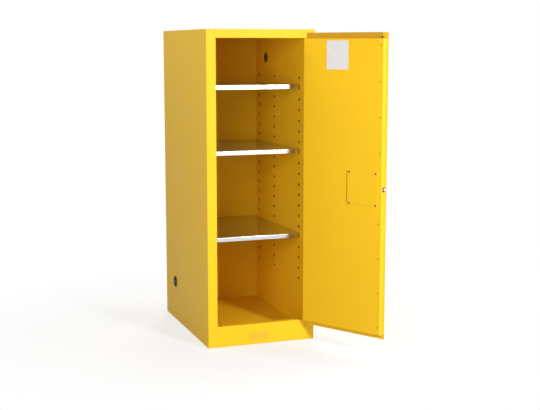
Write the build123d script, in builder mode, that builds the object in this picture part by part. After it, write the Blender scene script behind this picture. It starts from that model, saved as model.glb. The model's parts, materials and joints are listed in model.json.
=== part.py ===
# Flammable safety cabinet: a double-walled steel cabinet with one door on a continuous hinge, three sloped
# shelves on hooked clips, a leakproof sump behind a raised sill, two bunged vents and a three-point latch.
# Millimetres. X runs to the right, Y to the back and Z up, from the centre of the footprint, on the floor.

import os
from math import cos, radians, sin

from build123d import *

os.makedirs("parts", exist_ok=True)

# Carcass
cabinet_height = 1651.0
cabinet_width = 591.0
cabinet_depth = 864.0
sheet = 1.2
wall_gap = 38.0
bend = 2.0
left_band = 51.0
top_band = 44.5
top_edge = 1.0
hole_cut = 5.0
sill_height = 110.5
jamb_depth = 36.0
sump_depth = 51.0

# Shelf slots and shelves
slot_pitch = 57.15
slot_first_z = 312.2
slot_top_inset = 205.0
slot_width = 20.0
slot_height = 12.0
slot_front_inset = 86.0
slot_middle_inset = 314.6
slot_rear_inset = 55.6
lower_shelf_slot = 4
middle_shelf_from_top = 8
upper_shelf_from_top = 2
shelf_set_back = 97.0
shelf_lip = 21.5
shelf_fall = 8.0
shelf_corner = 25.0
shelf_edge = 2.0
shelf_side_gap = 2.5
shelf_back_gap = 2.6
clip_sheet = 1.5
clip_ledge = 13.5
clip_ledge_sheet = 2.0
clip_rise = 8.0
clip_hook_drop = 5.0
clip_play = 0.5
seat_gap = 0.1

# Vents
vent_back_inset = 212.0
lower_vent_z = 224.0
upper_vent_drop = 151.0
vent_bore = 60.0
vent_tube_wall = 3.0
vent_flange_width = 7.0
vent_flange = 1.5
screen_sheet = 1.5
screen_pitch = 13.0
screen_hole = 10.0
screen_rim = 3.0
bung_length = 20.0
bung_head = 64.0
bung_head_height = 4.0
bung_edge = 1.0
bung_dish = 50.0
bung_dish_depth = 9.0
bung_grip_width = 9.0
bung_play = 0.3

# Levelling feet and grounding stud
foot_inset_x = 46.0
foot_inset_y = 70.0
foot_pad = 38.0
foot_pad_height = 8.0
foot_stem = 10.0
foot_stem_top = 55.0
foot_lift = 1.0
foot_hole_play = 3.0
bracket_size = 60.0
bracket_height = 33.0
bracket_sheet = 3.0
thread_play = 0.05
stud = 6.35
stud_reach = 20.0
stud_shank = 8.0
stud_shank_length = 9.0
stud_collar = 14.0
stud_collar_height = 3.0
stud_back_inset = 82.0
stud_z = 90.0
nut_width = 13.0
nut_height = 6.5

# Hinge
door_angle = 120.5
hinge_sheet = 1.5
leaf_gap = 1.0
leaf_depth = 28.0
knuckle = 9.5
knuckle_length = 96.0
hinge_end_gap = 10.0
knuckle_gap = 0.5
knuckle_stand_off = 0.4
hinge_pin = 4.0
pin_play = 0.05
pin_head = 7.0
pin_head_height = 2.0

# Door
door_lip_top = 27.5
door_lip_bottom = 22.5
door_lip_free = 3.0
door_gap = 1.25
plug_gap = 2.5
pan_depth = 33.6
pan_bend = 3.0
knuckle_clear = 0.65
hinge_wall_relief = 2.4

# Latch, handle and lock
latch_z = 857.0
cover_set_in = 115.6
cover_width = 185.0
cover_height = 172.0
cover_corner = 4.0
cover_sheet = 2.0
cover_screw_pitch_u = 161.0
cover_screw_pitch_z = 159.0
access_width = 140.0
access_height = 136.0
screw = 4.0
screw_head = 9.0
screw_head_height = 2.0
screw_length = 8.0
screw_play = 0.2
cup_set_in = 110.1
pocket_width = 120.0
pocket_height = 90.0
pocket_depth = 20.0
pocket_corner = 6.0
cup_sheet = 1.5
cup_rim = 8.0
cup_play = 0.5
pivot_inset = 13.0
pivot_depth = 7.3
pivot_pin = 6.0
pivot_boss = 11.0
paddle_sheet = 4.0
paddle_side_gap = 3.0
paddle_tail_gap = 5.0
finger_gap = 22.0
paddle_lip = 9.0
paddle_bend = 5.0
pull_angle = 40.0
arm_length = 16.0
arm_width = 20.0
arm_sheet = 6.0
arm_play = 0.45
slide_sheet = 2.5
slide_gap = 1.0
slide_height = 72.0
slide_tail = 15.0
slide_nose_gap = 4.0
guide_sheet = 1.5
guide_lip = 6.0
guide_length = 44.0
guide_play = 0.4
rod = 10.0
rod_edge = 23.0
rod_v = -18.0
rod_throw = 10.0
rod_nose = 8.0
rod_tip = 2.0
cam_pin = 5.0
cam_pin_offset = 29.0
cam_pin_edge = 6.0
cam_play = 0.4
side_bolt = 14.0
bolt_tail = 12.0
bolt_nose = 4.0
bolt_clear = 2.0
bushing_flange = 26.0
bushing_flange_height = 0.8
strike_play = 2.0
strike_slack = 10.0
rod_hole_play = 1.5
rod_guide_offset = 380.0
rod_guide_width = 20.0
rod_guide_height = 12.0
rod_guide_wall = 3.0
running_play = 0.1
lock_rise = 93.0
lock_flange = 28.0
lock_flange_height = 1.5
lock_body = 21.0
lock_body_length = 20.0
lock_plug = 14.0
lock_cam_length = 24.0
lock_cam_width = 10.0
lock_cam_sheet = 2.5
keyway_width = 1.6
keyway_length = 8.0
keyway_depth = 4.0

# Faces worked out from the driving sizes
half_width = cabinet_width / 2
front_y = -cabinet_depth / 2
back_y = cabinet_depth / 2
wall = 2 * sheet + wall_gap
liner_half = half_width - wall
liner_back_y = back_y - wall
liner_top_z = cabinet_height - wall
top_sheet_z = cabinet_height - sheet
opening_left = -half_width + left_band
opening_right = liner_half
opening_width = opening_right - opening_left
opening_top = cabinet_height - top_band
jamb_back = front_y + jamb_depth
sump_floor_z = sill_height - sump_depth
vent_y = back_y - vent_back_inset
stud_y = back_y - stud_back_inset
upper_vent_z = cabinet_height - upper_vent_drop

# Shelf slots stand in three columns on each wall
slot_column_y = (
    jamb_back + slot_front_inset,
    liner_back_y - slot_middle_inset,
    liner_back_y - slot_rear_inset,
)
slot_count = int((liner_top_z - slot_top_inset - slot_first_z) // slot_pitch) + 1
shelf_slots = {
    "lower": lower_shelf_slot,
    "middle": slot_count - middle_shelf_from_top,
    "upper": slot_count - upper_shelf_from_top,
}

# Hinge line: the knuckles stand just proud of the front, midway between the two leaves
pin_x = opening_right - hinge_sheet - leaf_gap / 2
pin_y = front_y - knuckle / 2 - knuckle_stand_off
hinge_room = opening_top - sill_height - 2 * hinge_end_gap
knuckle_count = 2 * int((hinge_room / knuckle_length - 1) // 2) + 1
hinge_length = knuckle_count * knuckle_length
hinge_bottom = (opening_top + sill_height - hinge_length) / 2

# Door sizes along u (from the pin to the free edge), v (outwards) and z
frame_v = pin_y - front_y
skin_back_v = frame_v + door_gap
skin_v = skin_back_v + sheet
pan_back_v = skin_back_v - pan_depth
pan_floor_v = pan_back_v + sheet
skin_hinge_u = knuckle / 2 + knuckle_clear
skin_free_u = pin_x - opening_left + door_lip_free
skin_bottom = sill_height - door_lip_bottom
skin_top = opening_top + door_lip_top
pan_hinge_u = leaf_gap / 2 + hinge_sheet
pan_free_u = pin_x - opening_left - plug_gap
pan_bottom = sill_height + plug_gap
pan_top = opening_top - plug_gap

# Latch positions
cover_u = pan_free_u - cover_set_in
cup_u = pan_free_u - cup_set_in
cup_back_v = skin_v - pocket_depth - cup_sheet
pivot_u = cup_u + pocket_width / 2 - pivot_inset
pivot_v = skin_v - pivot_depth
lean = pull_angle / 2
slide_stroke = 2 * arm_length * sin(radians(lean))
arm_tip_u = pivot_u + arm_length * sin(radians(lean))
slide_v = cup_back_v - slide_gap
slide_tail_u = cup_u + slide_tail
slide_nose_u = pan_free_u - sheet - slide_nose_gap
rod_u = pan_free_u - rod_edge
strike_x = pin_x - rod_u
strike_y = pin_y - rod_v
strike_back_y = strike_y + strike_slack
lock_z = latch_z + lock_rise

door_u = Vector(-1, 0, 0).rotate(Axis.Z, door_angle)
door_v = Vector(0, -1, 0).rotate(Axis.Z, door_angle)
pin_foot = Vector(pin_x, pin_y, 0)


def door_plan(z):
    """A level plane on the hinge line: u along x, v along y."""
    return Plane(origin=pin_foot + Vector(0, 0, z), x_dir=door_u, z_dir=(0, 0, 1))


def door_sheet(v):
    """A plane parallel to the door: u along x, z along y, facing into the door."""
    return Plane(origin=pin_foot + door_v * v, x_dir=door_u, z_dir=door_v * -1)


def door_cross(u):
    """A plane across the door: v along x, z along y, facing the free edge."""
    return Plane(origin=pin_foot + door_u * u, x_dir=door_v, z_dir=door_u)


def finish(piece, label):
    """Names a finished piece and writes it."""
    piece.part.label = label
    export_step(piece.part, f"parts/{label}.step")


def folded(points, thickness, radius, side, plane, length):
    """A sheet folded along an outline of its outer face, then run along the plane's normal."""
    with BuildPart() as piece:
        with BuildSketch(plane):
            with BuildLine():
                FilletPolyline(*points, radius=radius)
                offset(amount=thickness, side=side)
            make_face()
        extrude(amount=length)
    return piece


def flat(plane, low, high, thickness):
    """A flat sheet between two corners of a plane."""
    with BuildPart() as piece:
        with BuildSketch(plane):
            with Locations(((low[0] + high[0]) / 2, (low[1] + high[1]) / 2)):
                Rectangle(high[0] - low[0], high[1] - low[1])
        extrude(amount=thickness)
    return piece


# Left side, folded round the stile and the jamb to the liner
left_points = [
    (-half_width, back_y),
    (-half_width, front_y),
    (opening_left, front_y),
    (opening_left, jamb_back),
    (-liner_half - sheet, jamb_back),
]
left_side = folded(left_points, sheet, bend, Side.LEFT, Plane.XY, top_sheet_z)
with left_side:
    with Locations(Plane(origin=(-half_width, vent_y, lower_vent_z), z_dir=(1, 0, 0))):
        Cylinder(vent_bore / 2 + vent_tube_wall + seat_gap, hole_cut, mode=Mode.SUBTRACT)
    with Locations(Plane(origin=(opening_left, strike_y, latch_z), z_dir=(1, 0, 0))):
        Cylinder(side_bolt / 2 + strike_play, hole_cut, mode=Mode.SUBTRACT)
finish(left_side, "outer_left_side")

# Right side, folded round the stile to the hinge jamb
right_points = [
    (half_width, back_y),
    (half_width, front_y),
    (opening_right, front_y),
    (opening_right, jamb_back),
]
right_side = folded(right_points, sheet, bend, Side.RIGHT, Plane.XY, top_sheet_z)
with right_side:
    with Locations(Plane(origin=(half_width, vent_y, upper_vent_z), z_dir=(1, 0, 0))):
        Cylinder(vent_bore / 2 + vent_tube_wall + seat_gap, hole_cut, mode=Mode.SUBTRACT)
    with Locations(Plane(origin=(half_width, stud_y, stud_z), z_dir=(1, 0, 0))):
        Cylinder(stud_shank / 2 + seat_gap, hole_cut, mode=Mode.SUBTRACT)
finish(right_side, "outer_right_side")

# Top, back and bottom sheets
top = flat(Plane.XY.offset(top_sheet_z), (-half_width, front_y), (half_width, back_y), sheet)
with top:
    fillet(top.faces().sort_by(Axis.Z)[-1].edges(), top_edge)
finish(top, "outer_top")

inside_half = half_width - sheet
back = flat(Plane.XZ.offset(-back_y), (-inside_half, 0), (inside_half, top_sheet_z), sheet)
finish(back, "outer_back")

bottom = flat(Plane.XY, (-inside_half, jamb_back), (inside_half, back_y - sheet), sheet)
foot_x = half_width - foot_inset_x
foot_y = back_y - foot_inset_y
foot_places = {
    "front_left": (-foot_x, -foot_y),
    "front_right": (foot_x, -foot_y),
    "rear_left": (-foot_x, foot_y),
    "rear_right": (foot_x, foot_y),
}
with bottom:
    with Locations(*foot_places.values()):
        Cylinder(foot_pad / 2 + foot_hole_play, hole_cut, mode=Mode.SUBTRACT)
finish(bottom, "outer_bottom")

# Header rail over the opening and raised sill under it, each with a slot for a door bolt
rail_points = [
    (front_y, top_sheet_z),
    (front_y, opening_top),
    (jamb_back, opening_top),
    (jamb_back, liner_top_z + sheet),
]
rail = folded(rail_points, sheet, bend, Side.LEFT, Plane.YZ.offset(opening_left), opening_width)
with rail:
    with Locations((strike_x, strike_y, opening_top), (strike_x, strike_back_y, opening_top)):
        Cylinder(rod / 2 + strike_play, hole_cut, mode=Mode.SUBTRACT)
    with Locations((strike_x, (strike_y + strike_back_y) / 2, opening_top)):
        Box(rod + 2 * strike_play, strike_slack, hole_cut, mode=Mode.SUBTRACT)
finish(rail, "frame_top_rail")

sill_points = [
    (jamb_back, 0),
    (front_y, 0),
    (front_y, sill_height),
    (jamb_back, sill_height),
    (jamb_back, sump_floor_z - sheet),
]
sill = folded(sill_points, sheet, bend, Side.RIGHT, Plane.YZ.offset(opening_left), opening_width)
with sill:
    with Locations((strike_x, strike_y, sill_height), (strike_x, strike_back_y, sill_height)):
        Cylinder(rod / 2 + strike_play, hole_cut, mode=Mode.SUBTRACT)
    with Locations((strike_x, (strike_y + strike_back_y) / 2, sill_height)):
        Box(rod + 2 * strike_play, strike_slack, hole_cut, mode=Mode.SUBTRACT)
finish(sill, "frame_sill")

# Liner walls with their columns of shelf slots
slot_places = [(y, slot_first_z + i * slot_pitch) for y in slot_column_y for i in range(slot_count)]
for label, face_x, vent_z in (
    ("liner_left", -liner_half - sheet, lower_vent_z),
    ("liner_right", liner_half, upper_vent_z),
):
    with BuildPart() as liner:
        with BuildSketch(Plane.YZ.offset(face_x)):
            with Locations(((jamb_back + liner_back_y) / 2, (sump_floor_z - sheet + liner_top_z) / 2)):
                Rectangle(liner_back_y - jamb_back, liner_top_z - sump_floor_z + sheet)
            with Locations(*slot_places):
                Rectangle(slot_width, slot_height, mode=Mode.SUBTRACT)
            with Locations((vent_y, vent_z)):
                Circle(vent_bore / 2 + vent_tube_wall + seat_gap, mode=Mode.SUBTRACT)
        extrude(amount=sheet)
    finish(liner, label)

liner_span = liner_half + sheet
back_low = (-liner_span, sump_floor_z - sheet)
back_high = (liner_span, liner_top_z)
liner_back = flat(Plane.XZ.offset(-liner_back_y - sheet), back_low, back_high, sheet)
finish(liner_back, "liner_back")
top_low = (-liner_span, jamb_back)
top_high = (liner_span, liner_back_y + sheet)
liner_top = flat(Plane.XY.offset(liner_top_z), top_low, top_high, sheet)
finish(liner_top, "liner_top")
floor_low = (-liner_half, jamb_back)
floor_high = (liner_half, liner_back_y)
sump_floor = flat(Plane.XY.offset(sump_floor_z - sheet), floor_low, floor_high, sheet)
finish(sump_floor, "sump_floor")

# Vents: a flanged tube through both walls, a flame arrester screen at its inner end and a dished bung
tube_radius = vent_bore / 2 + vent_tube_wall
flange_radius = vent_bore / 2 + vent_flange_width
screen_reach = vent_bore / 2 - screen_rim
screen_steps = range(-int(screen_reach // screen_pitch), int(screen_reach // screen_pitch) + 1)
screen_rows = [step * screen_pitch for step in screen_steps]
screen_field = screen_reach - screen_hole / 2
screen_places = [(y, z) for y in screen_rows for z in screen_rows if Vector(y, z).length < screen_field]
for label, side, vent_z in (("lower_vent", -1, lower_vent_z), ("upper_vent", 1, upper_vent_z)):
    vent_face = Plane(origin=(side * half_width, vent_y, vent_z), x_dir=(0, 1, 0), z_dir=(side, 0, 0))
    outward = Axis((0, 0, 0), (side, 0, 0))
    with BuildPart() as fitting:
        with BuildSketch(vent_face.offset(-wall)):
            Circle(tube_radius)
            Circle(vent_bore / 2, mode=Mode.SUBTRACT)
        extrude(amount=wall + vent_flange)
        with BuildSketch(vent_face):
            Circle(flange_radius)
            Circle(vent_bore / 2, mode=Mode.SUBTRACT)
        extrude(amount=vent_flange)
    finish(fitting, f"{label}_fitting")

    with BuildPart() as screen:
        with BuildSketch(vent_face.offset(-wall)):
            Circle(vent_bore / 2 - seat_gap)
            with Locations(*screen_places):
                Rectangle(screen_hole, screen_hole, mode=Mode.SUBTRACT)
        extrude(amount=screen_sheet)
    finish(screen, f"{label}_arrester")

    with BuildPart() as bung:
        with BuildSketch(vent_face.offset(vent_flange + bung_play - bung_length)):
            Circle(vent_bore / 2 - bung_play)
        extrude(amount=bung_length)
        with BuildSketch(vent_face.offset(vent_flange + bung_play)):
            Circle(bung_head / 2)
        extrude(amount=bung_head_height)
        chamfer(bung.faces().sort_by(outward)[-1].edges(), bung_edge)
        with BuildSketch(vent_face.offset(vent_flange + bung_play + bung_head_height)):
            Circle(bung_dish / 2)
            Rectangle(bung_dish, bung_grip_width, mode=Mode.SUBTRACT)
        extrude(amount=-bung_dish_depth, mode=Mode.SUBTRACT)
    finish(bung, f"{label}_bung")

# Shelves: pans with a deep front lip and rounded front corners, the deck falling to the back
shelf_half = liner_half - shelf_side_gap
shelf_front = front_y + shelf_set_back
shelf_rear = liner_back_y - shelf_back_gap


def shelf_seat(slot):
    """Height of the clip ledges in a slot, counted from the lowest."""
    return slot_first_z + slot * slot_pitch - slot_height / 2 + seat_gap + clip_rise


def shelf_block(inset, seat, bottom):
    """The shelf's outer form, drawn in by a sheet's thickness for its hollow underside."""
    top_z = seat + shelf_lip - inset
    outline = [
        (shelf_front + inset, bottom),
        (shelf_front + inset, top_z),
        (shelf_rear - inset, top_z - shelf_fall),
        (shelf_rear - inset, bottom),
    ]
    with BuildPart() as block:
        with BuildSketch(Plane.YZ.offset(inset - shelf_half)):
            with BuildLine():
                Polyline(*outline, close=True)
            make_face()
        extrude(amount=2 * (shelf_half - inset))
        fillet(block.edges().filter_by(Axis.Z).group_by(Axis.Y)[0], shelf_corner - inset)
        if inset == 0:
            fillet(block.faces().sort_by(Axis.Z)[-1].edges(), shelf_edge)
    return block


for place, slot in shelf_slots.items():
    seat = shelf_seat(slot)
    outer = shelf_block(0, seat, seat)
    hollow = shelf_block(sheet, seat, seat - sheet)
    with BuildPart() as shelf:
        add(outer.part)
        add(hollow.part, mode=Mode.SUBTRACT)
    finish(shelf, f"{place}_shelf")

# Shelf clips: each hooks through a wall slot and carries the shelf on its ledge
clip_outline = [
    (0, -clip_rise),
    (clip_sheet, -clip_rise),
    (clip_sheet, -clip_ledge_sheet),
    (clip_ledge, -clip_ledge_sheet),
    (clip_ledge, 0),
    (-2 * clip_sheet, 0),
    (-2 * clip_sheet, -clip_rise - clip_hook_drop),
    (-clip_sheet, -clip_rise - clip_hook_drop),
    (-clip_sheet, -clip_rise),
]
for place, slot in shelf_slots.items():
    with BuildPart() as clips:
        for side in (-1, 1):
            for column_y in slot_column_y:
                clip_origin = (side * liner_half, column_y, shelf_seat(slot))
                with BuildSketch(Plane(origin=clip_origin, x_dir=(-side, 0, 0), z_dir=(0, side, 0))):
                    with BuildLine():
                        Polyline(*clip_outline, close=True)
                    make_face()
                extrude(amount=slot_width / 2 - clip_play, both=True)
    finish(clips, f"{place}_shelf_clips")

# Levelling feet in brackets on the bottom sheet, wound up clear of the floor
with BuildPart() as brackets:
    for foot_place in foot_places.values():
        bracket_outline = [
            (-bracket_size / 2, 0),
            (-bracket_size / 2, bracket_height),
            (bracket_size / 2, bracket_height),
            (bracket_size / 2, 0),
        ]
        bracket_origin = (foot_place[0] - bracket_size / 2, foot_place[1], sheet)
        with BuildSketch(Plane(origin=bracket_origin, x_dir=(0, 1, 0), z_dir=(1, 0, 0))):
            with BuildLine():
                Polyline(*bracket_outline)
                offset(amount=bracket_sheet, side=Side.RIGHT)
            make_face()
        extrude(amount=bracket_size)
    with Locations(*[(x, y, sheet + bracket_height) for x, y in foot_places.values()]):
        Cylinder(foot_stem / 2 + thread_play, 2 * bracket_height, mode=Mode.SUBTRACT)
finish(brackets, "foot_brackets")

for place, (x, y) in foot_places.items():
    with BuildPart() as foot:
        with BuildSketch(Plane.XY.offset(foot_lift)):
            with Locations((x, y)):
                RegularPolygon(foot_pad / 2, 6)
        extrude(amount=foot_pad_height)
        with BuildSketch(Plane.XY.offset(foot_lift + foot_pad_height)):
            with Locations((x, y)):
                Circle(foot_stem / 2)
        extrude(amount=foot_stem_top - foot_lift - foot_pad_height)
    finish(foot, f"foot_{place}")

# Grounding stud through the right side, held by a nut in the wall gap
stud_face = Plane(origin=(half_width, stud_y, stud_z), x_dir=(0, 1, 0), z_dir=(1, 0, 0))
with BuildPart() as ground_stud:
    with BuildSketch(stud_face.offset(-sheet - stud_shank_length)):
        Circle(stud_shank / 2)
    extrude(amount=sheet + stud_shank_length)
    with BuildSketch(stud_face):
        RegularPolygon(stud_collar / 2, 6)
    extrude(amount=stud_collar_height)
    with BuildSketch(stud_face.offset(stud_collar_height)):
        Circle(stud / 2)
    extrude(amount=stud_reach)
finish(ground_stud, "ground_stud")
with BuildPart() as ground_nut:
    with BuildSketch(stud_face.offset(-sheet)):
        RegularPolygon(nut_width / 2, 6, major_radius=False)
        Circle(stud_shank / 2 + thread_play, mode=Mode.SUBTRACT)
    extrude(amount=-nut_height)
finish(ground_nut, "ground_nut")

# Continuous hinge: two leaves with interleaved knuckles on one long pin
leaf_root = knuckle / 2 + knuckle_clear


def hinge_leaf(plane, leaf_x, first):
    """A leaf beside the pin: its plate runs away from the knuckles along -y of the plane."""
    with BuildPart() as leaf:
        with BuildSketch(plane):
            with Locations((leaf_x, -leaf_root - leaf_depth / 2)):
                Rectangle(hinge_sheet, leaf_depth)
        extrude(amount=hinge_length)
        for i in range(first, knuckle_count, 2):
            with BuildSketch(plane.offset(i * knuckle_length + knuckle_gap / 2)):
                Circle(knuckle / 2)
                with Locations((leaf_x, -leaf_root / 2)):
                    Rectangle(hinge_sheet, leaf_root)
                Circle(hinge_pin / 2 + pin_play, mode=Mode.SUBTRACT)
            extrude(amount=knuckle_length - knuckle_gap)
    return leaf


frame_hinge_plan = Plane(origin=(pin_x, pin_y, hinge_bottom), x_dir=(-1, 0, 0), z_dir=(0, 0, 1))
leaf_offset = leaf_gap / 2 + hinge_sheet / 2
finish(hinge_leaf(frame_hinge_plan, -leaf_offset, 0), "hinge_frame_leaf")
finish(hinge_leaf(door_plan(hinge_bottom), leaf_offset, 1), "hinge_door_leaf")
with BuildPart() as long_pin:
    with BuildSketch(Plane.XY.offset(hinge_bottom)):
        with Locations((pin_x, pin_y)):
            Circle(hinge_pin / 2)
    extrude(amount=hinge_length)
    with BuildSketch(Plane.XY.offset(hinge_bottom + hinge_length)):
        with Locations((pin_x, pin_y)):
            Circle(pin_head / 2)
    extrude(amount=pin_head_height)
finish(long_pin, "hinge_pin")

# Door skin, cut for the handle cup and the lock
with BuildPart() as skin:
    with BuildSketch(door_sheet(skin_v)):
        with Locations(((skin_hinge_u + skin_free_u) / 2, (skin_bottom + skin_top) / 2)):
            Rectangle(skin_free_u - skin_hinge_u, skin_top - skin_bottom)
        with Locations((cup_u, latch_z)):
            RectangleRounded(
                pocket_width + 2 * (cup_sheet + cup_play),
                pocket_height + 2 * (cup_sheet + cup_play),
                pocket_corner + cup_sheet + cup_play,
                mode=Mode.SUBTRACT,
            )
        with Locations((cup_u, lock_z)):
            Circle(lock_body / 2 + seat_gap, mode=Mode.SUBTRACT)
    extrude(amount=sheet)
finish(skin, "door_skin")

# Door inner pan: a shallow tray behind the skin that plugs the opening
inward = Axis((0, 0, 0), tuple(door_v * -1))
rod_hole = rod / 2 + rod_hole_play
bolt_hole = side_bolt / 2 + rod_hole_play
with BuildPart() as pan:
    with BuildSketch(door_sheet(skin_back_v)):
        with Locations(((pan_hinge_u + pan_free_u) / 2, (pan_bottom + pan_top) / 2)):
            Rectangle(pan_free_u - pan_hinge_u, pan_top - pan_bottom)
    extrude(amount=pan_depth)
    fillet(pan.faces().sort_by(inward)[-1].edges(), pan_bend)
    offset(amount=-sheet, openings=pan.faces().sort_by(inward)[0])
    with BuildSketch(door_sheet(skin_back_v)):
        with Locations((pan_hinge_u, (pan_bottom + pan_top) / 2)):
            Rectangle(2 * hinge_wall_relief, pan_top - pan_bottom)
    extrude(amount=hinge_wall_relief, mode=Mode.SUBTRACT)
    with BuildSketch(door_sheet(pan_floor_v)):
        with Locations((cover_u, latch_z)):
            Rectangle(access_width, access_height)
            with GridLocations(cover_screw_pitch_u, cover_screw_pitch_z, 2, 2):
                Circle(screw / 2 + screw_play)
    extrude(amount=sheet, mode=Mode.SUBTRACT)
    for wall_z in (pan_bottom, pan_top - sheet):
        with BuildSketch(door_plan(wall_z)):
            with Locations((rod_u, rod_v)):
                Circle(rod_hole)
        extrude(amount=sheet, mode=Mode.SUBTRACT)
    with BuildSketch(door_cross(pan_free_u - sheet)):
        with Locations((rod_v, latch_z)):
            Circle(bolt_hole)
    extrude(amount=sheet, mode=Mode.SUBTRACT)
finish(pan, "door_inner_pan")

# Latch access cover on the pan's face, with its four screws
with BuildPart() as cover:
    with BuildSketch(door_sheet(pan_back_v)):
        with Locations((cover_u, latch_z)):
            RectangleRounded(cover_width, cover_height, cover_corner)
            with GridLocations(cover_screw_pitch_u, cover_screw_pitch_z, 2, 2):
                Circle(screw / 2 + screw_play, mode=Mode.SUBTRACT)
    extrude(amount=cover_sheet)
finish(cover, "latch_cover")

with BuildPart() as cover_screws:
    with BuildSketch(door_sheet(pan_back_v - cover_sheet + screw_length)):
        with Locations((cover_u, latch_z)):
            with GridLocations(cover_screw_pitch_u, cover_screw_pitch_z, 2, 2):
                Circle(screw / 2)
    extrude(amount=screw_length)
    with BuildSketch(door_sheet(pan_back_v - cover_sheet)):
        with Locations((cover_u, latch_z)):
            with GridLocations(cover_screw_pitch_u, cover_screw_pitch_z, 2, 2):
                Circle(screw_head / 2)
    extrude(amount=screw_head_height)
finish(cover_screws, "latch_cover_screws")

# Handle cup let into the skin
with BuildPart() as cup:
    with BuildSketch(door_sheet(skin_v + cup_sheet)):
        with Locations((cup_u, latch_z)):
            RectangleRounded(
                pocket_width + 2 * (cup_sheet + cup_rim),
                pocket_height + 2 * (cup_sheet + cup_rim),
                pocket_corner + cup_sheet,
            )
    extrude(amount=cup_sheet)
    with BuildSketch(door_sheet(skin_v)):
        with Locations((cup_u, latch_z)):
            RectangleRounded(
                pocket_width + 2 * cup_sheet, pocket_height + 2 * cup_sheet, pocket_corner + cup_sheet
            )
    extrude(amount=pocket_depth + cup_sheet)
    with BuildSketch(door_sheet(skin_v + cup_sheet)):
        with Locations((cup_u, latch_z)):
            RectangleRounded(pocket_width, pocket_height, pocket_corner)
    extrude(amount=pocket_depth + cup_sheet, mode=Mode.SUBTRACT)
    with BuildSketch(door_sheet(skin_v - pocket_depth)):
        with Locations((pivot_u, latch_z)):
            Rectangle(slide_stroke + 2 * arm_sheet, arm_width + 2 * paddle_side_gap)
    extrude(amount=cup_sheet, mode=Mode.SUBTRACT)
    with Locations(door_plan(latch_z)):
        with Locations((pivot_u, pivot_v)):
            Cylinder(pivot_pin / 2 + pin_play, 2 * pocket_height, mode=Mode.SUBTRACT)
finish(cup, "handle_cup")

with BuildPart() as pivot:
    pivot_length = pocket_height + 4 * cup_sheet
    with BuildSketch(door_plan(latch_z - pivot_length / 2)):
        with Locations((pivot_u, pivot_v)):
            Circle(pivot_pin / 2)
    extrude(amount=pivot_length)
finish(pivot, "handle_pivot_pin")

# Paddle: a folded plate with a grip lip, a boss on the pivot and an arm that reaches into the latch slide
paddle_tail_u = cup_u + pocket_width / 2 - paddle_tail_gap
paddle_grip_u = cup_u - pocket_width / 2 + finger_gap
paddle_half = pocket_height / 2 - paddle_side_gap
paddle_points = [(paddle_tail_u, skin_v), (paddle_grip_u, skin_v), (paddle_grip_u, skin_v - paddle_lip)]
with BuildPart() as paddle:
    with BuildSketch(door_plan(latch_z)):
        with BuildLine():
            FilletPolyline(*paddle_points, radius=paddle_bend)
            offset(amount=paddle_sheet, side=Side.LEFT)
        make_face()
        with Locations((pivot_u, pivot_v)):
            Circle(pivot_boss / 2)
    extrude(amount=paddle_half, both=True)
    with BuildSketch(door_plan(latch_z)):
        with Locations(((pivot_u + arm_tip_u) / 2, pivot_v - arm_length * cos(radians(lean)) / 2)):
            SlotCenterToCenter(arm_length, arm_sheet, rotation=lean - 90)
    extrude(amount=arm_width / 2, both=True)
    with BuildSketch(door_plan(latch_z)):
        with Locations((pivot_u, pivot_v)):
            Circle(pivot_pin / 2 + pin_play)
    extrude(amount=paddle_half, both=True, mode=Mode.SUBTRACT)
finish(paddle, "handle_paddle")

# Latch slide: a plate behind the cup with a window for the arm and two slanted cam slots for the rods
slide_half = slide_height / 2
cam_slot = cam_pin + 2 * cam_play
with BuildPart() as slide:
    with BuildSketch(door_sheet(slide_v)):
        with Locations(((slide_tail_u + slide_nose_u) / 2, latch_z)):
            Rectangle(slide_nose_u - slide_tail_u, slide_height)
        with Locations((arm_tip_u, latch_z)):
            Rectangle(arm_sheet + 2 * arm_play, arm_width + 2 * paddle_side_gap, mode=Mode.SUBTRACT)
        for way in (-1, 1):
            with Locations((rod_u + slide_stroke / 2, latch_z + way * (cam_pin_offset - slide_stroke / 2))):
                SlotCenterToCenter(slide_stroke * 2**0.5, cam_slot, rotation=-45 * way, mode=Mode.SUBTRACT)
    extrude(amount=slide_sheet)
finish(slide, "latch_slide")

# Side bolt: a tail block on the slide and a rounded nose through the pan's free edge
along = Axis((0, 0, 0), tuple(door_u))
bolt_root_u = cup_u + pocket_width / 2 + cup_sheet + slide_stroke + bolt_clear
with BuildPart() as bolt:
    with BuildSketch(door_cross(bolt_root_u)):
        with Locations((rod_v, latch_z)):
            Circle(side_bolt / 2)
    extrude(amount=pan_free_u + rod_throw - bolt_root_u)
    chamfer(bolt.faces().sort_by(along)[-1].edges(), bolt_nose)
    with BuildSketch(door_cross(bolt_root_u)):
        with Locations(((rod_v + slide_v) / 2, latch_z)):
            Rectangle(rod_v - slide_v, side_bolt)
    extrude(amount=bolt_tail)
finish(bolt, "side_bolt")

# Upper and lower rods: round bars with sloped ends for bolts, each with a cam pin in the slide
for label, way, reach in (("upper", 1, pan_top + rod_throw), ("lower", -1, pan_bottom - rod_throw)):
    pin_z = latch_z + way * cam_pin_offset
    root_z = pin_z - way * cam_pin_edge
    with BuildPart() as bar:
        with BuildSketch(door_plan(root_z)):
            with Locations((rod_u, rod_v)):
                Circle(rod / 2)
        extrude(amount=reach - root_z)
        nose_v = rod_v - rod / 2
        nose_cut = [(nose_v, reach - way * rod_nose), (nose_v, reach), (nose_v + rod - rod_tip, reach)]
        with BuildSketch(door_cross(rod_u - rod / 2)):
            with BuildLine():
                Polyline(*nose_cut, close=True)
            make_face()
        extrude(amount=rod, mode=Mode.SUBTRACT)
        with BuildSketch(door_sheet(rod_v)):
            with Locations((rod_u, pin_z)):
                Circle(cam_pin / 2)
        extrude(amount=rod_v - slide_v + slide_sheet + slide_gap)
    finish(bar, f"{label}_rod")

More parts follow.
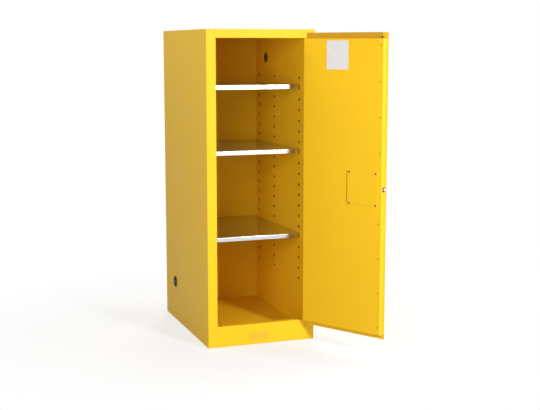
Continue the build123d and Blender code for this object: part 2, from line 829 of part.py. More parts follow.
# Channels on the back of the cup that guide the slide
with BuildPart() as slide_guides:
    guide_depth = slide_gap + slide_sheet + slide_gap + guide_sheet
    for way in (-1, 1):
        edge_z = latch_z + way * (slide_half + guide_play)
        guide_points = [
            (cup_back_v, edge_z + way * guide_sheet),
            (cup_back_v - guide_depth, edge_z + way * guide_sheet),
            (cup_back_v - guide_depth, edge_z + way * guide_sheet - way * guide_lip),
        ]
        with BuildSketch(door_cross(slide_tail_u)):
            with BuildLine():
                FilletPolyline(*guide_points, radius=bend)
                offset(amount=guide_sheet, side=Side.LEFT if way > 0 else Side.RIGHT)
            make_face()
        extrude(amount=guide_length)
finish(slide_guides, "slide_guides")

# Blocks on the pan that steady the rods half way along
with BuildPart() as rod_guides:
    guide_top_v = rod_v + rod / 2 + rod_guide_wall
    for way in (-1, 1):
        with BuildSketch(door_plan(latch_z + way * rod_guide_offset)):
            with Locations((rod_u, (guide_top_v + pan_floor_v) / 2)):
                Rectangle(rod_guide_width, guide_top_v - pan_floor_v)
            with Locations((rod_u, rod_v)):
                Circle(rod / 2 + running_play, mode=Mode.SUBTRACT)
        extrude(amount=rod_guide_height)
finish(rod_guides, "rod_guides")

# Bushing rings round the three bolts where they leave the pan
with BuildPart() as bushings:
    for way, wall_z in ((1, pan_top), (-1, pan_bottom)):
        with BuildSketch(door_plan(wall_z)):
            with Locations((rod_u, rod_v)):
                Circle(bushing_flange / 2)
                Circle(rod / 2 + running_play, mode=Mode.SUBTRACT)
        extrude(amount=way * bushing_flange_height)
    with BuildSketch(door_cross(pan_free_u)):
        with Locations((rod_v, latch_z)):
            Circle(bushing_flange / 2)
            Circle(side_bolt / 2 + running_play, mode=Mode.SUBTRACT)
    extrude(amount=bushing_flange_height)
finish(bushings, "bolt_bushings")

# Key lock above the handle: a flanged housing and a plug that turns, with its cam behind
with BuildPart() as housing:
    with BuildSketch(door_sheet(skin_v + lock_flange_height)):
        with Locations((cup_u, lock_z)):
            Circle(lock_flange / 2)
            Circle(lock_plug / 2 + pin_play, mode=Mode.SUBTRACT)
    extrude(amount=lock_flange_height)
    with BuildSketch(door_sheet(skin_v)):
        with Locations((cup_u, lock_z)):
            Circle(lock_body / 2)
            Circle(lock_plug / 2 + pin_play, mode=Mode.SUBTRACT)
    extrude(amount=lock_body_length)
finish(housing, "lock_housing")

with BuildPart() as plug:
    plug_length = lock_flange_height + lock_body_length + running_play
    with BuildSketch(door_sheet(skin_v + lock_flange_height)):
        with Locations((cup_u, lock_z)):
            Circle(lock_plug / 2)
    extrude(amount=plug_length)
    with BuildSketch(door_sheet(skin_v + lock_flange_height)):
        with Locations((cup_u, lock_z)):
            Rectangle(keyway_width, keyway_length)
    extrude(amount=keyway_depth, mode=Mode.SUBTRACT)
    with BuildSketch(door_sheet(skin_v + lock_flange_height - plug_length)):
        with Locations((cup_u + lock_cam_length / 2, lock_z)):
            SlotCenterToCenter(lock_cam_length, lock_cam_width)
    extrude(amount=lock_cam_sheet)
finish(plug, "lock_cylinder")
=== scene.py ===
# %% [markdown]
# # A flammable safety cabinet
# The cabinet is a double-walled box of folded sheet steel with one door, standing open. Its CAD
# solids already have the folds, shelves, hinge, latch and vents, so this lesson gives them
# finishes, adds the small things that a solid model leaves out, and sets the light and the camera.
# The frame is loaded first.

# %% Load the frame
import json
from math import cos, radians, sin

import bmesh
import bpy
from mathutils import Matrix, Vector


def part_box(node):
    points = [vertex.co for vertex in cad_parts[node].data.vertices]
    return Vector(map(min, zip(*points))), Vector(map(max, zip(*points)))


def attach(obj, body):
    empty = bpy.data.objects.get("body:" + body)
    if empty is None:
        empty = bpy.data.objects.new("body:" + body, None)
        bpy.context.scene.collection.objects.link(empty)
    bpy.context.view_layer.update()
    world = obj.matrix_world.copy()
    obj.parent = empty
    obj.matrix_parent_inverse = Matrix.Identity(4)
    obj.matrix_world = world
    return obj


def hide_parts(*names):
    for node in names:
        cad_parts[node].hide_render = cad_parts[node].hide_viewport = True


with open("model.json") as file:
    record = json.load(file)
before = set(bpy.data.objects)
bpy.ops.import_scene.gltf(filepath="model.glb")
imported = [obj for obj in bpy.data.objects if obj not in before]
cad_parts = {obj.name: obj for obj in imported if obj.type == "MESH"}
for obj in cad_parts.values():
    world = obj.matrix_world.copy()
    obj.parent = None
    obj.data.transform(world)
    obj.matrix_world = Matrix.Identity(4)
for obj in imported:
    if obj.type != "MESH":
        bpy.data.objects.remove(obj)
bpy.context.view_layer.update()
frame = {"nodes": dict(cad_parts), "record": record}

# %% [markdown]
# ## Camera
# The photograph was taken from a little left of the cabinet's front, from about shoulder height,
# with a long lens that keeps the upright edges nearly parallel. A camera solved from the cabinet's
# own corners gives its place, turn, tilt and lens, so the picture can be compared with the
# photograph edge by edge.

# %% Camera at the photograph's viewing angle
camera_place = Vector((-1.8314, -5.6473, 1.5665))
camera_turn = 19.798
camera_tilt = 8.457
camera_lens = 71.348
sensor_width = 36.0

bpy.ops.object.select_all(action="DESELECT")
bpy.ops.object.camera_add(
    location=camera_place, rotation=(radians(90 - camera_tilt), 0, radians(-camera_turn))
)
camera = bpy.context.object
camera.name = "photo_camera"
camera.data.sensor_fit = "HORIZONTAL"
camera.data.sensor_width = sensor_width
camera.data.lens = camera_lens
bpy.context.scene.camera = camera
print("camera", tuple(round(value, 3) for value in camera_place), "lens", camera_lens)

# %% [markdown]
# ## Sums in shaders
# A finish is a small network of nodes. Drawing it in code reads best when a sum looks like a sum,
# so one class wraps a socket: plus, minus, times and a comparison each add a Math node, and one
# method adds any other node.

# %% A socket that can be used in sums
class Field:
    """A shader socket that takes part in sums, or with no socket yet the start of a network."""

    def __init__(self, tree, socket=None):
        self.tree = tree
        self.socket = socket

    def node(self, kind, settings, sockets, output=0):
        """Adds one node: its settings first, then the values or links of its sockets."""
        made = self.tree.nodes.new(kind)
        for name, value in settings.items():
            setattr(made, name, value)
        for name, value in sockets.items():
            if isinstance(value, Field):
                self.tree.links.new(value.socket, made.inputs[name])
            else:
                made.inputs[name].default_value = value
        return Field(self.tree, made.outputs[output])

    def sum(self, operation, first, second):
        """Adds a Math node that works on two values."""
        return self.node("ShaderNodeMath", {"operation": operation}, {0: first, 1: second})

    def __add__(self, other):
        return self.sum("ADD", self, other)

    def __radd__(self, other):
        return self.sum("ADD", other, self)

    def __sub__(self, other):
        return self.sum("SUBTRACT", self, other)

    def __rsub__(self, other):
        return self.sum("SUBTRACT", other, self)

    def __mul__(self, other):
        return self.sum("MULTIPLY", self, other)

    def __rmul__(self, other):
        return self.sum("MULTIPLY", other, self)

    def __gt__(self, other):
        return self.sum("GREATER_THAN", self, other)

    def mix(self, low, high, blend="MIX"):
        """A colour between low and high, where this socket is the share of high."""
        settings = {"data_type": "RGBA", "blend_type": blend}
        return self.node("ShaderNodeMix", settings, {0: self, 6: low, 7: high}, 2)


print("sums", [name for name in vars(Field) if name.startswith("__r")])

# %% [markdown]
# Every finish starts the same way: an empty Principled shader, with what is the same all over
# the surface set on its own sockets. What varies is linked to it afterwards. It comes from soft
# noise on the object's own coordinates, which stays in its place when the object moves.

# %% Start a finish
def new_finish(name, constants):
    """An empty Principled finish: its material, the start of its network, and its shader node."""
    material = bpy.data.materials.new(name)
    material.use_nodes = True
    shader = material.node_tree.nodes["Principled BSDF"]
    for socket, value in constants.items():
        shader.inputs[socket].default_value = value
    return material, Field(material.node_tree), shader


def feed(shader, **fields):
    """Links what varies over the surface to the shader's sockets."""
    for name, field in fields.items():
        field.tree.links.new(field.socket, shader.inputs[name.replace("_", " ")])


def object_place(start):
    """The place on the object, in metres from its origin."""
    return start.node("ShaderNodeTexCoord", {}, {}, "Object")


def noise(start, scale, detail=2.0):
    """Soft noise on the object's own coordinates, from about 0 to 1."""
    sockets = {"Vector": object_place(start), "Scale": scale, "Detail": detail}
    return start.node("ShaderNodeTexNoise", {}, sockets)


def bump(height, strength, distance):
    """A normal that follows a height field, whose full step is distance in metres."""
    sockets = {"Height": height, "Strength": strength, "Distance": distance}
    return height.node("ShaderNodeBump", {}, sockets)


def spread(field, low, high):
    """A value that runs from low to high as the field runs from 0 to 1."""
    return low + (high - low) * field


print("finish helpers ready")

# %% [markdown]
# ## Yellow powder coat
# The cabinet is sprayed with a powder that is baked to a tough satin skin. It is never quite flat:
# the skin has the fine pebbling called orange peel, and its gloss wanders a little over a large
# sheet. Both are noise on the object's own coordinates, the fine one as a bump and the broad one
# in colour and roughness.

# %% Yellow powder coat
coat_deep = (0.860, 0.515, 0.015, 1)
coat_fresh = (0.900, 0.545, 0.018, 1)
coat_specular = 0.11
coat_roughness = (0.42, 0.52)
sheet_scale = 3.0
sheet_detail = 3.0
peel_scale = 300.0
peel_strength = 0.30
peel_depth = 0.0004


def powder_coat(name):
    """The yellow finish, with its start and its colour, so that a variant can go on from them."""
    material, start, shader = new_finish(name, {"Specular IOR Level": coat_specular})
    broad = noise(start, sheet_scale, sheet_detail)
    peel = noise(start, peel_scale)
    colour = broad.mix(coat_deep, coat_fresh)
    feed(
        shader,
        Base_Color=colour,
        Roughness=spread(broad, *coat_roughness),
        Normal=bump(peel, peel_strength, peel_depth),
    )
    return material, start, shader, colour


yellow_coat = powder_coat("yellow_powder_coat")[0]
print(yellow_coat.name, len(yellow_coat.node_tree.nodes), "nodes")

# %% [markdown]
# The sheets between the two walls are painted near black: painted shade, which stands for the dark
# inside the wall gap and makes the rows of shelf slots look black. The wall gap is the space
# between the middles of the two sheets, so the distance from the centre line tells where the
# painted shade begins and ends, and one more comparison keeps it behind the front sheet.

# %% Painted shade inside the wall gap
liner_middle = 0.2557
skin_middle = 0.2949
front_middle = -0.4314
painted_gap_shade = (0.022, 0.018, 0.015, 1)


def along_axis(start, axis):
    """The place along one axis of the object."""
    return start.node("ShaderNodeSeparateXYZ", {}, {0: object_place(start)}, axis)


def within(field, low, high):
    """1 where the field lies between low and high."""
    return (field > low) * (high - field > 0.0)


wall_coat, start, shader, colour = powder_coat("yellow_outside_primer_in_wall")
across = along_axis(start, "X")
from_middle = start.node("ShaderNodeMath", {"operation": "ABSOLUTE"}, {0: across})
behind_front = along_axis(start, "Y") > front_middle
in_gap = within(from_middle, liner_middle, skin_middle) * behind_front
# The near-black colour here is painted shade for the dark inside the wall gap.
feed(shader, Base_Color=in_gap.mix(colour, painted_gap_shade))
print("primer from", liner_middle, "to", skin_middle, "m")

# %% [markdown]
# The header and the sill are folded rails with the same painted shade inside, which shows through
# the slots where the latch rods enter. Their inner space lies behind the front sheet, before the
# jamb's, and above the opening's top or below its bottom, and the rails' own boxes say where that
# is.

# %% Painted shade inside the rails
half_sheet = 0.0006
jamb_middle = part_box("frame_sill")[1][1] - half_sheet
rail_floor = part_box("frame_top_rail")[0][2] + half_sheet
sill_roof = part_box("frame_sill")[1][2] - half_sheet

rail_coat, start, shader, colour = powder_coat("yellow_outside_primer_in_rail")
between_sheets = within(along_axis(start, "Y"), front_middle, jamb_middle)
height = along_axis(start, "Z")
beyond_opening = (height > rail_floor) + within(height, half_sheet, sill_roof)
# The near-black colour here is painted shade for the dark inside the rails.
feed(shader, Base_Color=(between_sheets * beyond_opening).mix(colour, painted_gap_shade))
print("rails dark above", round(rail_floor, 4), "and below", round(sill_roof, 4), "m")

# %% [markdown]
# The skin of the door stands out beyond its pan. The strip of skin above the pan is darkened and
# browned up to a point short of the free corner: painted shadow, which stands for the shadow that
# the pan casts on the strip. One picture can't tell a thin coat from a shadow there, and a thin
# coat is taken. The strip is found by its place: higher than the pan, and on the inner side of the
# sheet's middle. Dot products with the door's own directions give the place along the door and
# through it.

# %% Painted shadow above the door's pan
door_pin = (0.25310, -0.43715, 0.0)
door_turn = radians(-59.5)
door_sheet_middle = -0.0033
strip_end = 0.468
painted_shadow_tint = (0.66, 0.60, 1.0, 1)
pan_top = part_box("door_inner_pan")[1][2]


def in_door(start):
    """The place along the door from its pin, and the place through it."""
    sockets = {0: object_place(start), 1: door_pin}
    from_pin = start.node("ShaderNodeVectorMath", {"operation": "SUBTRACT"}, sockets)
    ways = (cos(door_turn), sin(door_turn), 0.0), (-sin(door_turn), cos(door_turn), 0.0)
    dot = {"operation": "DOT_PRODUCT"}
    return [
        start.node("ShaderNodeVectorMath", dot, {0: from_pin, 1: way}, "Value") for way in ways
    ]


skin_shadow_coat, start, shader, colour = powder_coat("yellow_painted_shadow_above_pan")
along, through = in_door(start)
inner_side = (door_sheet_middle - through > 0.0) * (strip_end - along > 0.0)
strip = inner_side * (along_axis(start, "Z") > pan_top)
# The strip's colour is multiplied by a darker tint: painted shadow of the pan.
feed(shader, Base_Color=strip.mix(colour, painted_shadow_tint, "MULTIPLY"))
print("painted shadow above", round(pan_top, 4), "m")

# %% [markdown]
# The latch cover is a plate screwed on the pan. A dark line is painted beside its edge on the
# hinge side and a finer one below its lower edge: painted shadow, which stands for the shadow that
# the plate's edges cast on the pan. Each is a narrow box in the door's own directions.

# %% Painted shadow beside the latch cover
cover_edge = 0.2870
cover_width = 0.185
seam_beside = 0.006
seam_below = 0.0010
seam_shadow_tint = (0.56, 0.45, 0.80, 1)
cover_low, cover_high = (corner[2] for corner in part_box("latch_cover"))

pan_shadow_coat, start, shader, colour = powder_coat("yellow_painted_shadow_by_cover")
along = in_door(start)[0]
height = along_axis(start, "Z")
beside = within(along, cover_edge - seam_beside, cover_edge)
beside = beside * within(height, cover_low, cover_high)
below = within(along, cover_edge, cover_edge + cover_width)
below = below * within(height, cover_low - seam_below, cover_low)
# The seam lines' colour is multiplied by a darker tint: painted shadow of the cover's edges.
feed(shader, Base_Color=(beside + below).mix(colour, seam_shadow_tint, "MULTIPLY"))
print("painted shadow from", round(cover_low, 4), "to", round(cover_high, 4), "m")

# %% [markdown]
# ## Galvanised shelves
# Hot-dipped zinc sets in crystals, the spangle, that lie side by side like frost on a window.
# Cells of a Voronoi pattern are such crystals: each gets its own grey and its own gloss.

# %% Galvanised steel with its spangle
spangle_scale = 70.0
zinc_dull = (0.57, 0.58, 0.59, 1)
zinc_bright = (0.64, 0.65, 0.66, 1)
zinc_roughness = (0.21, 0.24)

galvanised, start, shader = new_finish("galvanised_spangle", {"Metallic": 1.0})
sockets = {"Vector": object_place(start), "Scale": spangle_scale, "Randomness": 1.0}
cell = start.node("ShaderNodeTexVoronoi", {}, sockets, "Color")
crystal = start.node("ShaderNodeSeparateColor", {}, {"Color": cell})
feed(
    shader,
    Base_Color=crystal.mix(zinc_dull, zinc_bright),
    Roughness=spread(crystal, *zinc_roughness),
    Normal=bump(noise(start, scale=400.0), strength=0.01, distance=0.0002),
)
print("spangle about", round(1000 / spangle_scale), "mm across")

# %% [markdown]
# ## Zinc plate
# The clips, feet, pins, side bolt and lock are zinc plated: smooth, a little cloudy, more mirror
# than the shelves. The other small parts differ from them only in colour, gloss and the size of
# their clouds, so one helper makes all of these: a noise moves colour and roughness together.

# %% Plated steel
def cloudy_finish(name, constants, scale, colours, roughness, detail=2.0):
    """A finish whose colour and roughness wander together, with its start, shader and clouds."""
    material, start, shader = new_finish(name, constants)
    cloud = noise(start, scale, detail)
    feed(shader, Base_Color=cloud.mix(*colours), Roughness=spread(cloud, *roughness))
    print(name, "in clouds of about", round(1000 / scale, 1), "mm")
    return material, start, shader, cloud


plated = cloudy_finish(
    "zinc_plated",
    {"Metallic": 1.0},
    scale=40.0,
    colours=((0.58, 0.59, 0.60, 1), (0.74, 0.75, 0.76, 1)),
    roughness=(0.22, 0.34),
)[0]

# %% [markdown]
# ## Brass
# The nut of the grounding stud is brass, a metal that conducts well and doesn't rust. It is
# handled and tarnishes in patches, so its clouds run from a brown to a clear yellow.

# %% Brass
brass = cloudy_finish(
    "brass",
    {"Metallic": 1.0},
    scale=60.0,
    colours=((0.62, 0.42, 0.14, 1), (0.80, 0.60, 0.26, 1)),
    roughness=(0.24, 0.36),
)[0]

# %% [markdown]
# ## Blackened steel
# The latch rods, the flame arresters and the cover's screws are blackened in a hot bath. The
# layer is thin, so the steel still shines through it a little: it is only in part a metal here.

# %% Blackened steel
blackened = cloudy_finish(
    "blackened_steel",
    {"Metallic": 0.7},
    scale=90.0,
    colours=((0.030, 0.030, 0.032, 1), (0.075, 0.073, 0.070, 1)),
    roughness=(0.34, 0.48),
)[0]

# %% [markdown]
# ## Black plastic
# The vent bungs, the guides of the rods and the bushings of the bolts are moulded. The mould is
# etched with a fine grain, which is one noise for the colour, the gloss and the bump.

# %% Moulded black plastic
black_plastic, start, shader, grain = cloudy_finish(
    "black_plastic",
    {"Specular IOR Level": 0.45},
    scale=1200.0,
    colours=((0.012, 0.012, 0.013, 1), (0.030, 0.030, 0.031, 1)),
    roughness=(0.42, 0.54),
)
feed(shader, Normal=bump(grain, strength=0.15, distance=0.0001))

# %% [markdown]
# ## Black enamel
# The handle and its cup are steel under a black baked enamel: glossier than the plastic, with
# broad clouds and only the finest ripple.

# %% Black enamel
black_enamel, start, shader, _ = cloudy_finish(
    "black_enamel",
    {"Specular IOR Level": 0.5},
    scale=30.0,
    colours=((0.012, 0.012, 0.014, 1), (0.024, 0.024, 0.026, 1)),
    roughness=(0.28, 0.40),
)
feed(shader, Normal=bump(noise(start, scale=900.0), strength=0.10, distance=0.0001))

# %% [markdown]
# ## Finishes on the solids
# The record says which finish each solid carries, so its slots lead from the names of the solids
# to the materials made above. A few solids have a variant of their own, and these come first.

# %% Give every solid its finish
finish_of_slot = {
    "yellow_paint": yellow_coat,
    "galvanised_steel": galvanised,
    "zinc_steel": plated,
    "brass": brass,
    "black_plastic": black_plastic,
    "black_paint": black_enamel,
}
finish_of_node = {
    "outer_left_side": wall_coat,
    "outer_right_side": wall_coat,
    "liner_left": wall_coat,
    "liner_right": wall_coat,
    "frame_top_rail": rail_coat,
    "frame_sill": rail_coat,
    "door_skin": skin_shadow_coat,
    "door_inner_pan": pan_shadow_coat,
    "upper_rod": blackened,
    "lower_rod": blackened,
    "lower_vent_arrester": blackened,
    "upper_vent_arrester": blackened,
}
for subpart in frame["record"]["subparts"]:
    name = subpart["node"]
    finish = finish_of_node.get(name, finish_of_slot[subpart["material_slot"]])
    node = frame["nodes"][name]
    node.data.materials.clear()
    node.data.materials.append(finish)

# %% [markdown]
# ## Small pieces
# A few things are too small or too thin for the solids: the screw heads on the latch cover, the
# marks that spot welding leaves, a blank label and a blank plate. Each starts from a primitive and
# is shaped in edit mode. The pieces on the door are drawn as its own drawing is laid out, with the
# hinge pin at the origin and the door along X, and are then turned with the door, so that their
# sizes stay plain numbers.

# %% Start a small piece
def open_for_shaping(name):
    """Names the new primitive, keeps its place in its mesh, and opens it in edit mode."""
    piece = bpy.context.object
    piece.name = name
    bpy.ops.object.transform_apply(location=True, rotation=True, scale=True)
    bpy.ops.object.mode_set(mode="EDIT")
    return piece


def add_block(name, middle, size):
    """A block of that size around that middle, open for shaping."""
    bpy.ops.object.select_all(action="DESELECT")
    bpy.ops.mesh.primitive_cube_add(size=1.0, location=middle)
    bpy.ops.transform.resize(value=size)
    return open_for_shaping(name)


def add_disc(name, middle, radius, depth, sides):
    """A disc that lies against a sheet, with its round faces along Y, open for shaping."""
    bpy.ops.object.select_all(action="DESELECT")
    bpy.ops.mesh.primitive_cylinder_add(
        vertices=sides, radius=radius, depth=depth, location=middle, rotation=(radians(90), 0, 0)
    )
    return open_for_shaping(name)


print("pieces start as a block or a disc")

# %% [markdown]
# An operator acts on what is selected, so faces and edges are picked in code, by the way they
# face or run. A face that looks out of the sheet faces against Y here, and an edge through the
# sheet runs along Y.

# %% Pick faces and edges
nearly_along = 0.9
nearly_across = 0.1


def pick(kind, wanted):
    """In edit mode, selects just the faces or edges that pass the test."""
    bpy.ops.mesh.select_mode(type=kind)
    bpy.ops.mesh.select_all(action="DESELECT")
    shape = bmesh.from_edit_mesh(bpy.context.object.data)
    for part in shape.faces if kind == "FACE" else shape.edges:
        part.select_set(wanted(part))
    bmesh.update_edit_mesh(bpy.context.object.data)


def facing_out(face):
    """True for a face that looks out of the sheet, against Y."""
    return face.normal.y < -nearly_along


def across_sheet(edge):
    """True for an edge that runs through the piece's thickness."""
    run = edge.verts[0].co - edge.verts[1].co
    return abs(run.y) > nearly_along * run.length


def on_outer_rim(edge):
    """True for an edge between an outward face and the wall of a disc."""
    outward = [facing_out(face) for face in edge.link_faces]
    wall = [abs(face.normal.y) < nearly_across for face in edge.link_faces]
    return any(outward) and all(out or side for out, side in zip(outward, wall))


def round_edges(wanted, radius, segments):
    """Bevels the edges that pass the test."""
    pick("EDGE", wanted)
    bpy.ops.mesh.bevel(offset=radius, segments=segments, affect="EDGES")


def inset_outer_face(*steps):
    """Insets the outward face once for each step of thickness and depth."""
    pick("FACE", facing_out)
    for thickness, depth in steps:
        bpy.ops.mesh.inset(thickness=thickness, depth=depth)


print("an edge counts as along a way from", nearly_along, "of its length")

# %% [markdown]
# What repeats is modelled once and copied, and the copies are joined to one object. At the end a
# piece is turned and moved to its place, which is kept in its mesh, and it is given its finish and
# the body that it rides on.

# %% Copy and settle a piece
def select_only(piece):
    """Makes the piece the one that the next operator acts on."""
    bpy.ops.object.select_all(action="DESELECT")
    piece.select_set(True)
    bpy.context.view_layer.objects.active = piece


def copy_along(piece, steps):
    """Copies of a shaped piece, each moved by one step, joined with it to one object."""
    bpy.ops.object.mode_set(mode="OBJECT")
    family = [piece]
    for step in steps:
        select_only(piece)
        bpy.ops.object.duplicate(linked=False)
        bpy.ops.transform.translate(value=step)
        family.append(bpy.context.object)
    for member in family:
        member.select_set(True)
    bpy.context.view_layer.objects.active = piece
    bpy.ops.object.join()


def settle(piece, finish, body, turn=0.0, place=(0, 0, 0)):
    """Sets a shaped piece in its place, and gives it its finish and body."""
    bpy.ops.object.mode_set(mode="OBJECT")
    select_only(piece)
    piece.rotation_euler.z = turn
    piece.location = place
    bpy.ops.object.transform_apply(location=True, rotation=True, scale=True)
    piece.data.materials.clear()
    piece.data.materials.append(finish)
    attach(piece, body)
    print(piece.name, len(piece.data.polygons), "faces on", body)


print("door pieces turn", round(door_turn, 4), "about", door_pin)

# %% [markdown]
# ## Cover screws
# Four pan-head screws hold the latch cover. A real head has a rounded rim and a cross recess for
# the driver, which the solids leave out. A disc gets a bevelled rim, and two thin blocks cut the
# cross out of it with a Boolean modifier. One screw is made, copied to the other three corners,
# and takes the place of the plain solids.

# %% Head of a cover screw
cover_face = -0.0395
screw_corner = (0.299, 0.7775)
head_radius = 0.0045
head_height = 0.0020
head_sides = 32
rim_radius = 0.0009
rim_segments = 4

head_middle = (screw_corner[0], cover_face - head_height / 2, screw_corner[1])
screws = add_disc("latch_cover_screw_heads", head_middle, head_radius, head_height, head_sides)
round_edges(on_outer_rim, rim_radius, rim_segments)
bpy.ops.object.mode_set(mode="OBJECT")
print("rounded head", len(screws.data.polygons), "faces")

# %% Cross recess, and the other three screws
screw_pitch = (0.161, 0.159)
recess_length = 0.0050
recess_width = 0.0012
recess_depth = 0.0012
recess_segments = 2

recess_middle = (screw_corner[0], cover_face - head_height, screw_corner[1])
for length, width in ((recess_length, recess_width), (recess_width, recess_length)):
    cutter = add_block("recess_cutter", recess_middle, (length, 2 * recess_depth, width))
    round_edges(across_sheet, recess_width / 5, recess_segments)
    bpy.ops.object.mode_set(mode="OBJECT")
    bpy.context.view_layer.objects.active = screws
    cut = screws.modifiers.new("recess", "BOOLEAN")
    cut.operation = "DIFFERENCE"
    cut.object = cutter
    bpy.ops.object.modifier_apply(modifier=cut.name)
    bpy.data.objects.remove(cutter)
across, up = screw_pitch
copy_along(screws, [(across, 0, 0), (0, 0, up), (across, 0, up)])
settle(screws, blackened, "door", door_turn, door_pin)
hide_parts("latch_cover_screws")

# %% [markdown]
# ## Spot-weld marks
# The inner pan is spot welded to the door's skin, and each weld leaves a shallow round dimple with
# a raised lip near the free edge. A disc is inset twice: the middle is pushed in and the lip
# between stays proud. The marks stand one welding pitch apart down the whole edge, with room left
# for the side bolt. The marks have a darker, browner finish of their own: painted shade, which
# stands for the shading in each dimple.

# %% Weld marks down the door's free edge
pan_face = -0.0375
weld_u = 0.480
weld_top = 1.570
weld_pitch = 0.177
weld_rows = (1, 2, 3, 5, 6, 7, 8)
weld_radius = 0.0042
weld_lip = 0.0006
weld_sides = 24
lip_share = 0.28
slope_share = 0.22
dimple_share = 0.8

# The weld marks' darker, browner colour is painted shade for the dimples.
weld_painted_shade = cloudy_finish(
    "weld_painted_shade",
    {"Specular IOR Level": 0.2},
    scale=200.0,
    colours=((0.42, 0.23, 0.015, 1), (0.58, 0.33, 0.018, 1)),
    roughness=(0.46, 0.60),
)[0]
weld_middle = (weld_u, pan_face - weld_lip / 2, weld_top)
welds = add_disc("door_weld_marks", weld_middle, weld_radius, weld_lip, weld_sides)
inset_outer_face(
    (weld_radius * lip_share, 0), (weld_radius * slope_share, -weld_lip * dimple_share)
)
copy_along(welds, [(0, 0, -row * weld_pitch) for row in weld_rows])
settle(welds, weld_painted_shade, "door", door_turn, door_pin)

# %% [markdown]
# ## Blank label
# The door carries a printed label near its top, left blank here. It is a thin film with rounded
# corners whose middle stands a hair higher than its rim, and a broad, weak bump lets it lie a
# little unevenly, as film does on a sprayed sheet.

# %% Label film
label_size = (0.134, 0.0003, 0.145)
label_middle = (0.217, pan_face - label_size[1] / 2, 1.5215)
label_corner = 0.002
label_rim = 0.0015
label_rise = label_size[1] * 0.3
corner_segments = 4

film, start, shader, _ = cloudy_finish(
    "label_film",
    {"Specular IOR Level": 0.4},
    scale=18.0,
    colours=((0.66, 0.655, 0.66, 1), (0.74, 0.735, 0.74, 1)),
    roughness=(0.34, 0.46),
    detail=3.0,
)
feed(shader, Normal=bump(noise(start, scale=90.0), strength=0.05, distance=0.0003))
label = add_block("door_label_blank", label_middle, label_size)
round_edges(across_sheet, label_corner, corner_segments)
inset_outer_face((label_rim, label_rise))
settle(label, film, "door", door_turn, door_pin)

# %% [markdown]
# ## Blank plate
# The sill carries a small stamped plate, coated with the cabinet and left blank here. A stamped
# plate has a rolled rim around a sunk field, which is one inset for the rim and one pushed in.

# %% Stamped plate on the sill
sill_front = -0.432
plate_size = (0.104, 0.0010, 0.042)
plate_middle = (-0.017, sill_front - plate_size[1] / 2, 0.0435)
plate_corner = 0.003
plate_rim = 0.0022
field_depth = 0.0006

plate_coat, start, shader, _ = cloudy_finish(
    "stamped_plate",
    {"Specular IOR Level": 0.35},
    scale=30.0,
    colours=((0.68, 0.41, 0.020, 1), (0.78, 0.48, 0.024, 1)),
    roughness=(0.40, 0.52),
)
feed(shader, Normal=bump(noise(start, scale=350.0), strength=0.20, distance=0.0004))
plate = add_block("sill_plate_blank", plate_middle, plate_size)
round_edges(across_sheet, plate_corner, corner_segments)
inset_outer_face((plate_rim, 0), (field_depth, -field_depth))
settle(plate, plate_coat, "cabinet")

# %% [markdown]
# ## White backdrop
# The photograph's background is plain white. A white world would also light the cabinet from all
# sides and take its shading away, so the world is white only where it is looked at, by the camera
# or in a reflection, and gives the surfaces just a little light.

# %% White world
ambient_strength = 0.12
white_colour = (1, 1, 1, 1)


def seen_directly(start):
    """1 for a ray from the camera, a reflection or a clear pane, and 0 for light on a surface."""
    camera_ray, glossy_ray, clear_ray = (
        start.node("ShaderNodeLightPath", {}, {}, f"Is {kind} Ray")
        for kind in ("Camera", "Glossy", "Transmission")
    )
    return (camera_ray + glossy_ray + clear_ray) > 0.5


world = bpy.data.worlds.new("studio")
bpy.context.scene.world = world
world.use_nodes = True
background = world.node_tree.nodes["Background"]
background.inputs["Color"].default_value = white_colour
strength = spread(seen_directly(Field(world.node_tree)), ambient_strength, 1)
world.node_tree.links.new(strength.socket, background.inputs["Strength"])
print("ambient", ambient_strength)

# %% [markdown]
# ## Floor
# The cabinet stands on a pale studio floor that runs out to the white backdrop. Close to the
# cabinet the floor is an ordinary matt surface that takes the shadow; further out it turns, for
# the camera and for reflections, to plain white, so that no horizon shows. The light that it
# throws back is that of a mid grey, so that the cabinet's sides grow darker towards the foot, as
# they do in the photograph.

# %% Floor
floor_size = 60.0
floor_roughness = 0.9
clear_radius = 0.7
fade_radius = 1.7
shadow_share = 0.38
pale_grey = (0.90, 0.90, 0.90, 1)
bounce_grey = (0.45, 0.45, 0.45, 1)

bpy.ops.object.select_all(action="DESELECT")
bpy.ops.mesh.primitive_plane_add(size=floor_size, location=(0, 0, 0))
floor = bpy.context.object
floor.name = "studio_floor"
floor_paint, start, shader = new_finish("studio_floor", {"Roughness": floor_roughness})
feed(shader, Base_Color=seen_directly(start).mix(bounce_grey, pale_grey))
floor.data.materials.append(floor_paint)
print("floor", floor_size, "m")

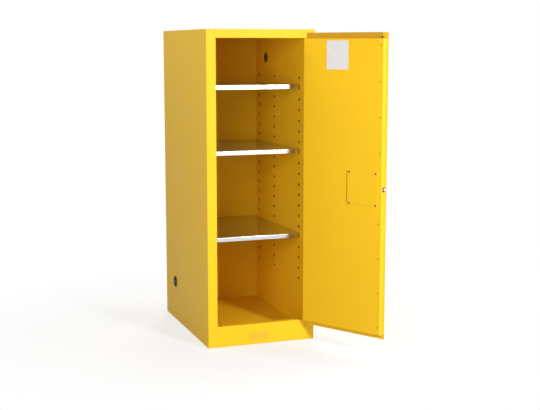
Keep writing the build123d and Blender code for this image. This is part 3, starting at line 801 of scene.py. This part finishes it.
# %% Floor that fades to white
length = {"operation": "LENGTH"}
distance = start.node("ShaderNodeVectorMath", length, {0: object_place(start)}, "Value")
fade_ends = {
    "Value": distance,
    "From Min": clear_radius,
    "From Max": fade_radius,
    "To Min": 1 - shadow_share,
    "To Max": 1.0,
}
fade = start.node("ShaderNodeMapRange", {"clamp": True}, fade_ends)
white = start.node("ShaderNodeEmission", {}, {"Color": white_colour, "Strength": 1.0})
matt = Field(floor_paint.node_tree, shader.outputs[0])
shares = {0: fade * seen_directly(start), 1: matt, 2: white}
shown = start.node("ShaderNodeMixShader", {}, shares)
surface = floor_paint.node_tree.nodes["Material Output"].inputs["Surface"]
floor_paint.node_tree.links.new(shown.socket, surface)
print("floor turns white from", clear_radius, "to", fade_radius, "m")

# %% [markdown]
# ## Light
# Five soft boxes light the cabinet. The large main one stands in front on the left and fills the
# front, the open door and the shelves. A smaller one on the right of the camera lights the front
# squarely and draws the bright line on the door's free edge. A high one on the left keeps the left
# side at about two thirds of the front. The last two stand out of the camera's way, on the right
# and behind, so that the door's outer face and the back can be seen as well.

# %% Soft boxes
def soft_box(name, place, aim, width, watts):
    """A square lamp at that place, turned to what it aims at."""
    bpy.ops.object.select_all(action="DESELECT")
    bpy.ops.object.light_add(type="AREA", location=place)
    lamp = bpy.context.object
    lamp.name = name
    lamp.data.shape = "SQUARE"
    lamp.data.size = width
    lamp.data.energy = watts
    towards = Vector(aim) - Vector(place)
    lamp.rotation_euler = towards.to_track_quat("-Z", "Y").to_euler()
    print(name, round(towards.length, 2), "m away,", watts, "W")


soft_box("main_soft_box", (-2.05, -3.35, 1.50), aim=(0.1, -0.4, 0.85), width=1.8, watts=66.0)
soft_box("right_soft_box", (1.50, -4.60, 1.90), aim=(0.1, -0.45, 0.85), width=0.6, watts=170.0)
soft_box("left_soft_box", (-1.70, 0.40, 3.60), aim=(-0.3, 0.0, 1.3), width=1.4, watts=38.0)
soft_box("right_fill", (3.40, -0.10, 2.00), aim=(0.3, -0.2, 0.9), width=1.8, watts=70.0)
soft_box("back_fill", (1.40, 4.10, 2.10), aim=(0.0, 0.4, 0.9), width=1.8, watts=108.0)
bpy.context.scene.view_settings.view_transform = "Standard"

# %% [markdown]
